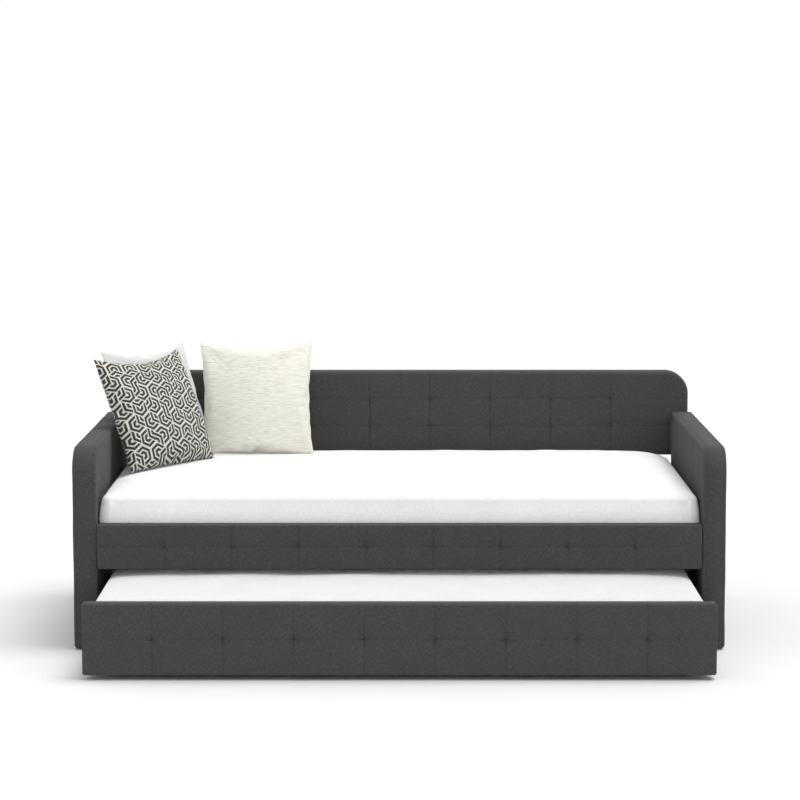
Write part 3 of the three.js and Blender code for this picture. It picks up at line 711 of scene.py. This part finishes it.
def swell(piece, pressure, cap, growth, stiffness, cut=None, frames=20):
    """Fills a cover so that its cloth swells and creases, and caps how far each point may move. cut is
    the shape that its cloth was cut to, where that isn't the shape it starts from."""
    start = points_of(piece.data)
    scene = bpy.context.scene
    cloth = piece.modifiers.new("filling", "CLOTH")
    settings = cloth.settings
    if cut is not None:
        piece.shape_key_add(name="Basis")
        pattern = piece.shape_key_add(name="cut")
        pattern.data.foreach_set("co", cut.ravel())
        pattern.value = 0
        settings.rest_shape_key = pattern
    settings.quality = 6
    settings.mass = 0.25
    settings.tension_stiffness = stiffness
    settings.compression_stiffness = stiffness
    settings.shear_stiffness = stiffness * 0.4
    settings.bending_stiffness = 0.4
    settings.use_pressure = True
    settings.uniform_pressure_force = pressure
    settings.shrink_min = -growth
    settings.effector_weights.gravity = 0
    settings.tension_damping = 12
    settings.compression_damping = 12
    settings.shear_damping = 12
    settings.air_damping = 4
    cloth.collision_settings.use_collision = False
    cloth.collision_settings.use_self_collision = False
    cloth.point_cache.frame_start = 1
    cloth.point_cache.frame_end = frames
    for number in range(1, frames + 1):
        scene.frame_set(number)
    filled = piece.evaluated_get(bpy.context.evaluated_depsgraph_get())
    moved = points_of(filled.data) - start
    length = np.linalg.norm(moved, axis=1, keepdims=True)
    moved *= np.minimum(1, cap / np.maximum(length, 1e-9))
    piece.modifiers.remove(cloth)
    piece.shape_key_clear()
    piece.data.vertices.foreach_set("co", (start + moved).ravel())
    piece.data.update()
    scene.frame_set(1)


def smooth_once(piece):
    """One round of subdivision, made part of the mesh."""
    finer = piece.modifiers.new("finer", "SUBSURF")
    finer.levels = 1
    finer.render_levels = 1
    finer.use_creases = True
    mesh = bpy.data.meshes.new_from_object(piece.evaluated_get(bpy.context.evaluated_depsgraph_get()))
    piece.modifiers.clear()
    piece.data = mesh


def crowned(low, high, crown, seed):
    """The top's crown over its shoulders: it falls away at the ends and the front, and the edge that
    is pushed against the back stays full."""
    middle, reach = (low.x + high.x) / 2, (high.x - low.x) / 2

    def pull_in(s, t):
        to_end = np.maximum(reach - np.abs(s - middle), 0)
        to_front = np.maximum(t - low.y, 0)
        to_back = np.maximum(high.y - t, 0)
        ends = 1 - np.exp(-to_end / (0.065 + 0.045 * np.exp(-to_front / 0.4)))
        front = 1 - np.exp(-to_front / 0.06)
        back = 0.75 + 0.25 * (1 - np.exp(-to_back / 0.03))
        inside = 1 - np.exp(-np.minimum(to_end, to_front) / 0.06)
        return -crown * ends * front * back + inside * slack(s, t, MATTRESS_SLACK, seed)

    return pull_in


def white_knit(name, dark, pale, yarn, relief):
    """White stretch knit: the weave again, with hardly any difference between its yarns."""
    return woven(name, [dark] * 3, [pale] * 3, yarn, relief, sheen=0.08, contrast=0.5)


# The trundle's ticking is the same knit painted darker: painted shade from the rail and arms above it.
ticking = {"mattress": white_knit("white knit ticking", 0.76, 0.83, 0.0016, 0.00022),
           "trundle_mattress": white_knit("white knit ticking, thinner, darkened as painted shade", 0.60, 0.66, 0.0014, 0.0002)}
for node, facts in MATTRESSES.items():
    low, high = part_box(node)
    shoulder = high.z - facts["crown"]
    mattress = padded_panel(
        f"{node}_cover", lambda s, t, d: (s, t, shoulder - d), (low.x, low.y), (high.x, high.y),
        shoulder - low.z, MATTRESS_ROLL, [MATTRESS_CORNER] * 4, ((), ()),
        crowned(low, high, facts["crown"], facts["seed"]), ticking[node], both_faces=True,
        pitch=MATTRESS_PITCH, notch=0, belly=facts["belly"])
    swell(mattress, pressure=2.0, cap=MATTRESS_SWELL, growth=0.005, stiffness=30, frames=12)
    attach(mattress, facts["body"])
    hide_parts(node)


# ---- Pillows ------------------------------------------------------------------------------
# Three square pillows with knife edges, filled with fibre: a hexagon print on linen, plain white
# cotton, and an ivory weave with slubbed ribs. They stand on the mattress against the back and arm.
PILLOW_CELLS = 64
FLAT_SHARE = 1.022                     # side of the flat cover, by the distance between the filled corners
FULLNESS = 0.95                        # below 1, the filling reaches further towards the seams
EDGE_HALF = 0.0025                     # half the thickness of the frame pillow's seam
PILLOW_SWELL = 0.09                    # how far the filling may push the cover out
PRINT_PITCH = 0.061                    # from one hexagon to the next
PRINT_STROKE = 0.14                    # width of a stroke, by the pitch
STROKE_CENTRES = (0.15, 0.37)          # from the middle of a hexagon, by the pitch
# Each pillow's size, how it stands in degrees, how full it is in front and at the rear, and how far the
# middle of its top seam has sunk.
PILLOWS = {
    "pillow_printed": {"size": 0.405, "turn": 50.7, "lean": -24.1, "roll": -1.2,
                       "front": 0.062, "rear": 0.045, "sag": 0.026},
    "pillow_white": {"size": 0.405, "turn": 50.2, "lean": -22, "roll": -0.5,
                     "front": 0.030, "rear": 0.036, "sag": 0.018},
    "pillow_cream": {"size": 0.392, "turn": -4, "lean": -5, "roll": -1,
                     "front": 0.062, "rear": 0.022, "sag": 0.003},
}


def hexagon_maze(finish, pitch, stroke):
    """Dark strokes of nested hexagons, each with one part turned round to face a neighbour."""
    root3 = math.sqrt(3)
    step = (1, root3, 1)
    place = finish.vector("MULTIPLY", finish.cloth(), (1 / pitch, 1 / (pitch * root3), 0))
    nearest = None
    for offset in (0, 0.5):
        cell = finish.vector("FRACTION", finish.vector("ADD", place, (offset, offset, 0)))
        local = finish.vector("MULTIPLY", finish.vector("SUBTRACT", cell, (0.5, 0.5, 0)), step)
        reach = finish.vector("DOT_PRODUCT", local, local)
        if nearest is None:
            nearest = (local, reach)
        else:
            other, far = nearest
            nearer = finish.math("LESS_THAN", reach, far)
            gap = finish.vector("SUBTRACT", local, other)
            local = finish.vector("ADD", other, finish.shade(gap, nearer))
    centre = finish.vector("SUBTRACT", finish.vector("MULTIPLY", place, step), local)
    halves = finish.vector("MULTIPLY_ADD", centre, (2, 2 / root3, 0), (0.5, 0.5, 0.5))
    number = finish.vector("FLOOR", halves)
    dice = finish.nodes.new("ShaderNodeTexWhiteNoise")
    finish.feed(dice.inputs["Vector"], number)
    sixth = finish.math("FLOOR", finish.math("MULTIPLY", dice.outputs["Value"], 6))
    turn = finish.math("MULTIPLY_ADD", sixth, math.pi / 3, math.pi / 6)
    x, y, _ = finish.split(local)
    cosine, sine = finish.math("COSINE", turn), finish.math("SINE", turn)
    ahead = finish.math("ADD", finish.math("MULTIPLY", x, cosine), finish.math("MULTIPLY", y, sine))
    aside = finish.math("ABSOLUTE", finish.math("SUBTRACT", finish.math("MULTIPLY", y, cosine),
                                                finish.math("MULTIPLY", x, sine)))
    ring = finish.math("MAXIMUM", aside, finish.math(
        "MULTIPLY_ADD", finish.math("ABSOLUTE", ahead), root3 / 2, finish.math("MULTIPLY", aside, 0.5)))
    turned = finish.math("SUBTRACT", 0.5, finish.math(
        "SUBTRACT", finish.math("MULTIPLY", ahead, root3 / 2), finish.math("MULTIPLY", aside, 0.5)))
    facing = finish.math("GREATER_THAN", finish.math("MULTIPLY", ahead, root3), aside)
    distance = finish.math("ADD", finish.math("MULTIPLY", turned, facing),
                           finish.math("MULTIPLY", ring, finish.math("SUBTRACT", 1, facing)))
    ragged = finish.noise(finish.cloth(), (420, 420, 420), 1.0)
    distance = finish.math("MULTIPLY_ADD", finish.math("SUBTRACT", ragged, 0.5), 0.03, distance)
    inner, outer = (finish.math("ABSOLUTE", finish.math("SUBTRACT", distance, centre))
                    for centre in STROKE_CENTRES)
    blur = 0.012
    return finish.span(finish.math("MINIMUM", inner, outer), stroke / 2 - blur, stroke / 2 + blur, 1, 0)


def printed_linen():
    """Warm off-white linen with a brown-black hexagon print that sinks into the yarns, and painted shade
    between them.
    """
    finish = Finish("hexagon print on linen",
                    {"Roughness": 0.9, "Specular IOR Level": 0.2, "Sheen Weight": 0.1})
    height, tone, heather = plain_weave(finish, 0.0009)
    linen = finish.mix(finish.span(tone, 0.25, 0.75), (0.49, 0.477, 0.44), (0.61, 0.597, 0.56))
    ink = finish.mix(finish.span(heather, 0.1, 0.4), (0.022, 0.020, 0.016), (0.050, 0.045, 0.037))
    printed = finish.mix(hexagon_maze(finish, PRINT_PITCH, PRINT_STROKE), linen, ink)
    # Painted shade: darker where the yarns lie low, between them.
    finish.paint(finish.shade(printed, finish.span(height, 0, 0.5, 0.8, 1.0)))
    finish.raise_surface(height, 0.0002)
    return finish


def slubbed_ivory():
    """Ivory cotton with thick and thin weft ribs, each fading in and out along its length."""
    finish = Finish("ivory slub weave",
                    {"Roughness": 0.92, "Specular IOR Level": 0.2, "Sheen Weight": 0.12})
    ribs = finish.noise(finish.cloth(), (38, 600, 1), 1.0)
    slubs = finish.noise(finish.cloth(), (17, 300, 1), 2.0)
    warp = finish.noise(finish.cloth(), (520, 300, 1), 1.0)
    height = finish.math("ADD", finish.math("MULTIPLY", ribs, 0.5), finish.math("MULTIPLY", slubs, 0.5))
    tone = finish.math("MULTIPLY_ADD", warp, 0.35, finish.math("MULTIPLY", height, 0.7))
    colour = finish.mix(finish.span(tone, 0.42, 0.62), (0.56, 0.548, 0.462), (0.765, 0.762, 0.70))
    drawn = finish.noise(finish.cloth(), (15, 420, 1), 1.0)
    finish.paint(finish.mix(finish.span(drawn, 0.64, 0.76), colour, (0.40, 0.385, 0.31)))
    finish.raise_surface(height, 0.0011)
    return finish


def sewn_cover(name, size, finish):
    """Two square faces sewn round their edges, bulged a little apart, with the seam creased and sharp."""
    side = size * FLAT_SHARE
    row = PILLOW_CELLS + 1
    u, v = np.meshgrid(np.linspace(-1, 1, row), np.linspace(-1, 1, row))
    u, v = u.ravel(), v.ravel()
    flat = np.stack([u * side / 2, 0 * u, v * side / 2], 1)
    bulge = 0.03 * np.sqrt((1 - u * u) * (1 - v * v))
    edge = (np.abs(u) > 0.999999) | (np.abs(v) > 0.999999)
    inner = np.flatnonzero(~edge)
    rear_of = np.arange(row * row)
    rear_of[inner] = row * row + np.arange(len(inner))
    front, rear = flat.copy(), flat.copy()
    front[:, 1], rear[:, 1] = -bulge, bulge
    cells, faces = [], []
    for j in range(PILLOW_CELLS):
        for i in range(PILLOW_CELLS):
            a = j * row + i
            cells += [a, a + 1, a + row + 1, a + row, a + row, a + row + 1, a + 1, a]
            faces.append((a, a + 1, a + row + 1, a + row))
            faces.append(tuple(int(rear_of[k]) for k in (a + row, a + row + 1, a + 1, a)))
    mesh = bpy.data.meshes.new(name)
    mesh.from_pydata(np.concatenate([front, rear[inner]]).tolist(), [], faces)
    mesh.uv_layers.new(name="cloth").data.foreach_set("uv", flat[cells][:, (0, 2)].ravel())
    mesh.shade_smooth()
    mesh.materials.append(finish.material)
    piece = bpy.data.objects.new(name, mesh)
    bpy.context.scene.collection.objects.link(piece)
    on_edge = set(np.flatnonzero(edge).tolist())
    crease = mesh.attributes.new("crease_edge", "FLOAT", "EDGE")
    sharp = mesh.attributes.new("sharp_edge", "BOOLEAN", "EDGE")
    for number, line in enumerate(mesh.edges):
        if line.vertices[0] in on_edge and line.vertices[1] in on_edge:
            crease.data[number].value = 0.9
            sharp.data[number].value = True
    return piece, np.concatenate([flat, flat[inner]])


def pillow(name, facts, finish):
    """One pillow: sewn, filled, brought to its size, and stood where the frame's pillow stands."""
    size = facts["size"]
    piece, flat = sewn_cover(f"{name}_cover", size, finish)
    swell(piece, pressure=3.0, cap=PILLOW_SWELL, growth=0, stiffness=40, cut=flat, frames=30)
    points = points_of(piece.data)
    points *= (size / 2) / np.abs(points[0, 0])
    v = flat[:, 2] / flat[:, 2].max()
    points[:, 1] -= points[0, 1]
    front = points[:, 1] < 0
    thick = np.where(front, facts["front"] / -points[:, 1].min(), facts["rear"] / points[:, 1].max())
    points[:, 1] *= thick
    most = np.where(front, facts["front"], facts["rear"])
    points[:, 1] = np.sign(points[:, 1]) * most * (np.abs(points[:, 1]) / most) ** FULLNESS * (1 - 0.08 * v)
    # The edge that it stands on is pressed straight.
    standing = np.clip((-v - 0.45) / 0.55, 0, 1) ** 2
    rise = np.interp(points[:, 0], *lowest_edge(points, v))
    points[:, 2] -= 0.85 * standing * rise
    u = flat[:, 0] / flat[:, 0].max()
    points[:, 2] -= facts["sag"] * (1 - u * u) * np.clip(v, 0, 1) ** 2
    piece.data.vertices.foreach_set("co", points.ravel())
    smooth_once(piece)
    turn, lean, roll = (math.radians(facts[way]) for way in ("turn", "lean", "roll"))
    pose = Matrix.Rotation(turn, 4, "Z") @ Matrix.Rotation(lean, 4, "X") @ Matrix.Rotation(roll, 4, "Y")
    # Its middle is where the frame pillow's is, found with that one laid square.
    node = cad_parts[name]
    square = np.array([pose.inverted() @ node.matrix_world @ point.co for point in node.data.vertices])
    middle = (square.min(0) + square.max(0)) / 2
    middle[1] = square[:, 1].min() + facts["front"] + EDGE_HALF
    piece.data.transform(Matrix.Translation(pose @ Vector(middle)) @ pose)
    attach(piece, "daybed")
    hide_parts(name)
    return piece


def lowest_edge(points, v):
    """The bottom seam: how high it is drawn above its corners, along its length."""
    seam = points[v < -0.999999]
    order = np.argsort(seam[:, 0])
    return seam[order, 0], seam[order, 2] - points[0, 2]


white_cotton = woven("white cotton", (0.64, 0.64, 0.632), (0.70, 0.70, 0.692), yarn=0.0007,
                     relief=0.0001, sheen=0.08, contrast=0.5)
for name, finish, slot in (("pillow_printed", printed_linen(), "printed_weave"),
                           ("pillow_white", white_cotton, "white_cotton"),
                           ("pillow_cream", slubbed_ivory(), "cream_weave")):
    pillow(name, PILLOWS[name], finish)


# ---- Trundle box --------------------------------------------------------------------------
# A low open box of black laminated board behind the padded front. Pine cleats and a centre rail
# inside it carry three plywood deck panels. The boards meet at the corners with screws.
LAMINATE_BLACK = (0.013, 0.013, 0.013)
LAMINATE_SCUFFED = (0.034, 0.033, 0.032)
SIDE_SCREW_INSET = 0.03
REAR_SCREW_INSET = 0.009

laminate = Finish("black laminated board", {"Specular IOR Level": 0.4})
pores = laminate.noise(laminate.solid(), (25, 420, 420), 3.0, 0.6)
scuffs = laminate.noise(laminate.solid(), (7, 7, 60), 4.0, 0.65)
laminate.paint(laminate.mix(laminate.span(scuffs, 0.5, 0.8, 0, 0.5), LAMINATE_BLACK, LAMINATE_SCUFFED),
               laminate.span(pores, 0.3, 0.7, 0.42, 0.62))
laminate.raise_surface(pores, 0.00015)
for node in ("trundle_side_left", "trundle_side_right", "trundle_rear_board"):
    dress(node, laminate)
for node in ("trundle_front_cleat", "trundle_rear_cleat", "trundle_centre_rail"):
    dress(node, pine_along)
deck_ply = timber("deck plywood", (0.60, 0.44, 0.26), (0.44, 0.29, 0.15), ALONG_THE_BED)
for name in ("left", "middle", "right"):
    dress(f"trundle_deck_{name}", deck_ply)

flat_head = screw_head(0.0048, 0.0011, 0.0020)
screws = []
for side, name in ((-1, "left"), (1, "right")):
    low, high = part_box(f"trundle_side_{name}")
    outer = high.x if side > 0 else low.x
    for y in (low.y + SIDE_SCREW_INSET, (low.y + high.y) / 2, high.y - SIDE_SCREW_INSET):
        for share in (0.25, 0.5):
            screws.append(((outer, y, low.z + share * (high.z - low.z)), (side, 0, 0)))
low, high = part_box("trundle_rear_board")
for side in (-1, 1):
    for share in (0.2, 0.5, 0.8):
        place = (side * (high.x - REAR_SCREW_INSET), high.y, low.z + share * (high.z - low.z))
        screws.append((place, (0, 1, 0)))
trundle_screws = fasteners("trundle_screws", [flat_head], screws, black_oxide)
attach(trundle_screws, "trundle")


# ---- Casters ------------------------------------------------------------------------------
# Four fixed casters: a pressed steel fork, painted black, a plated axle riveted through it, and a
# hard rubber wheel. Four screws hold each plate up to a cleat.
PLATE_SCREW_INSETS = (0.0055, 0.006)   # from the sides and the ends of the plate
PLATE_THICKNESS = 0.003

painted_steel = metal("black painted steel", (0.020, 0.020, 0.021), 0.42, 700, coat=0.4)
rubber = moulded("grey caster rubber", (0.045, 0.046, 0.048), 0.55, 700)
screws = []
for side in ("left", "right"):
    for end in ("front", "rear"):
        dress(f"caster_fork_{side}_{end}", painted_steel)
        dress(f"caster_axle_{side}_{end}", zinc)
        dress(f"caster_wheel_{side}_{end}", rubber)
        low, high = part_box(f"caster_fork_{side}_{end}")
        in_x, in_y = PLATE_SCREW_INSETS
        for x in (low.x + in_x, high.x - in_x):
            for y in (low.y + in_y, high.y - in_y):
                screws.append(((x, y, high.z - PLATE_THICKNESS), (0, 0, -1)))
caster_screws = fasteners("caster_screws", [screw_head(0.0036, 0.002, 0.0015)], screws, zinc)
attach(caster_screws, "trundle")


# ---- Floor, light and camera --------------------------------------------------------------
# A pale studio floor in soft light from all round, with a broad softbox overhead and to the right, and
# a low, weak one in front.
floor_finish = Finish("studio floor", {"Roughness": 0.8, "Specular IOR Level": 0.1})
tone = floor_finish.noise(floor_finish.solid(), (3, 3, 3), 2.0)
floor_finish.paint(floor_finish.mix(floor_finish.span(tone, 0.3, 0.7), [0.62] * 3, [0.64] * 3))
REACH = 60
floor = make("floor", [(-REACH, -REACH, 0), (REACH, -REACH, 0), (REACH, REACH, 0), (-REACH, REACH, 0)],
             [(0, 1, 2, 3)], floor_finish, smooth=False)

world = bpy.data.worlds.new("studio")
world.use_nodes = True
world.node_tree.nodes["Background"].inputs["Color"].default_value = (1, 1, 1, 1)
world.node_tree.nodes["Background"].inputs["Strength"].default_value = 1.0
bpy.context.scene.world = world
bpy.context.scene.view_settings.view_transform = "Standard"


def daylight(name, aim, strength, spread):
    """A very large, distant softbox: even light over the whole floor, with soft shadows."""
    lamp = bpy.data.lights.new(name, "SUN")
    lamp.energy = strength
    lamp.angle = math.radians(spread)
    holder = bpy.data.objects.new(name, lamp)
    holder.rotation_euler = Vector(aim).to_track_quat("-Z", "Y").to_euler()
    bpy.context.scene.collection.objects.link(holder)


CAMERA_DISTANCE = 8.52                 # from the front of the arms
CAMERA_HEIGHT = 1.722
CAMERA_TILT = 6.17                     # degrees below level

daylight("overhead", (-0.32, -0.04, -1), 2.2, 38)
daylight("front fill", (-0.1, 1, -0.12), 0.72, 24)

lens = bpy.data.cameras.new("camera")
lens.lens = 122.4
lens.sensor_width = 36
lens.clip_end = 200
camera = bpy.data.objects.new("camera", lens)
arm_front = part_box("arm_left_cover")[0].y
camera.location = (0.0016, arm_front - CAMERA_DISTANCE, CAMERA_HEIGHT)
camera.rotation_euler = (math.radians(90 - CAMERA_TILT), 0, 0)
bpy.context.scene.collection.objects.link(camera)
bpy.context.scene.camera = camera
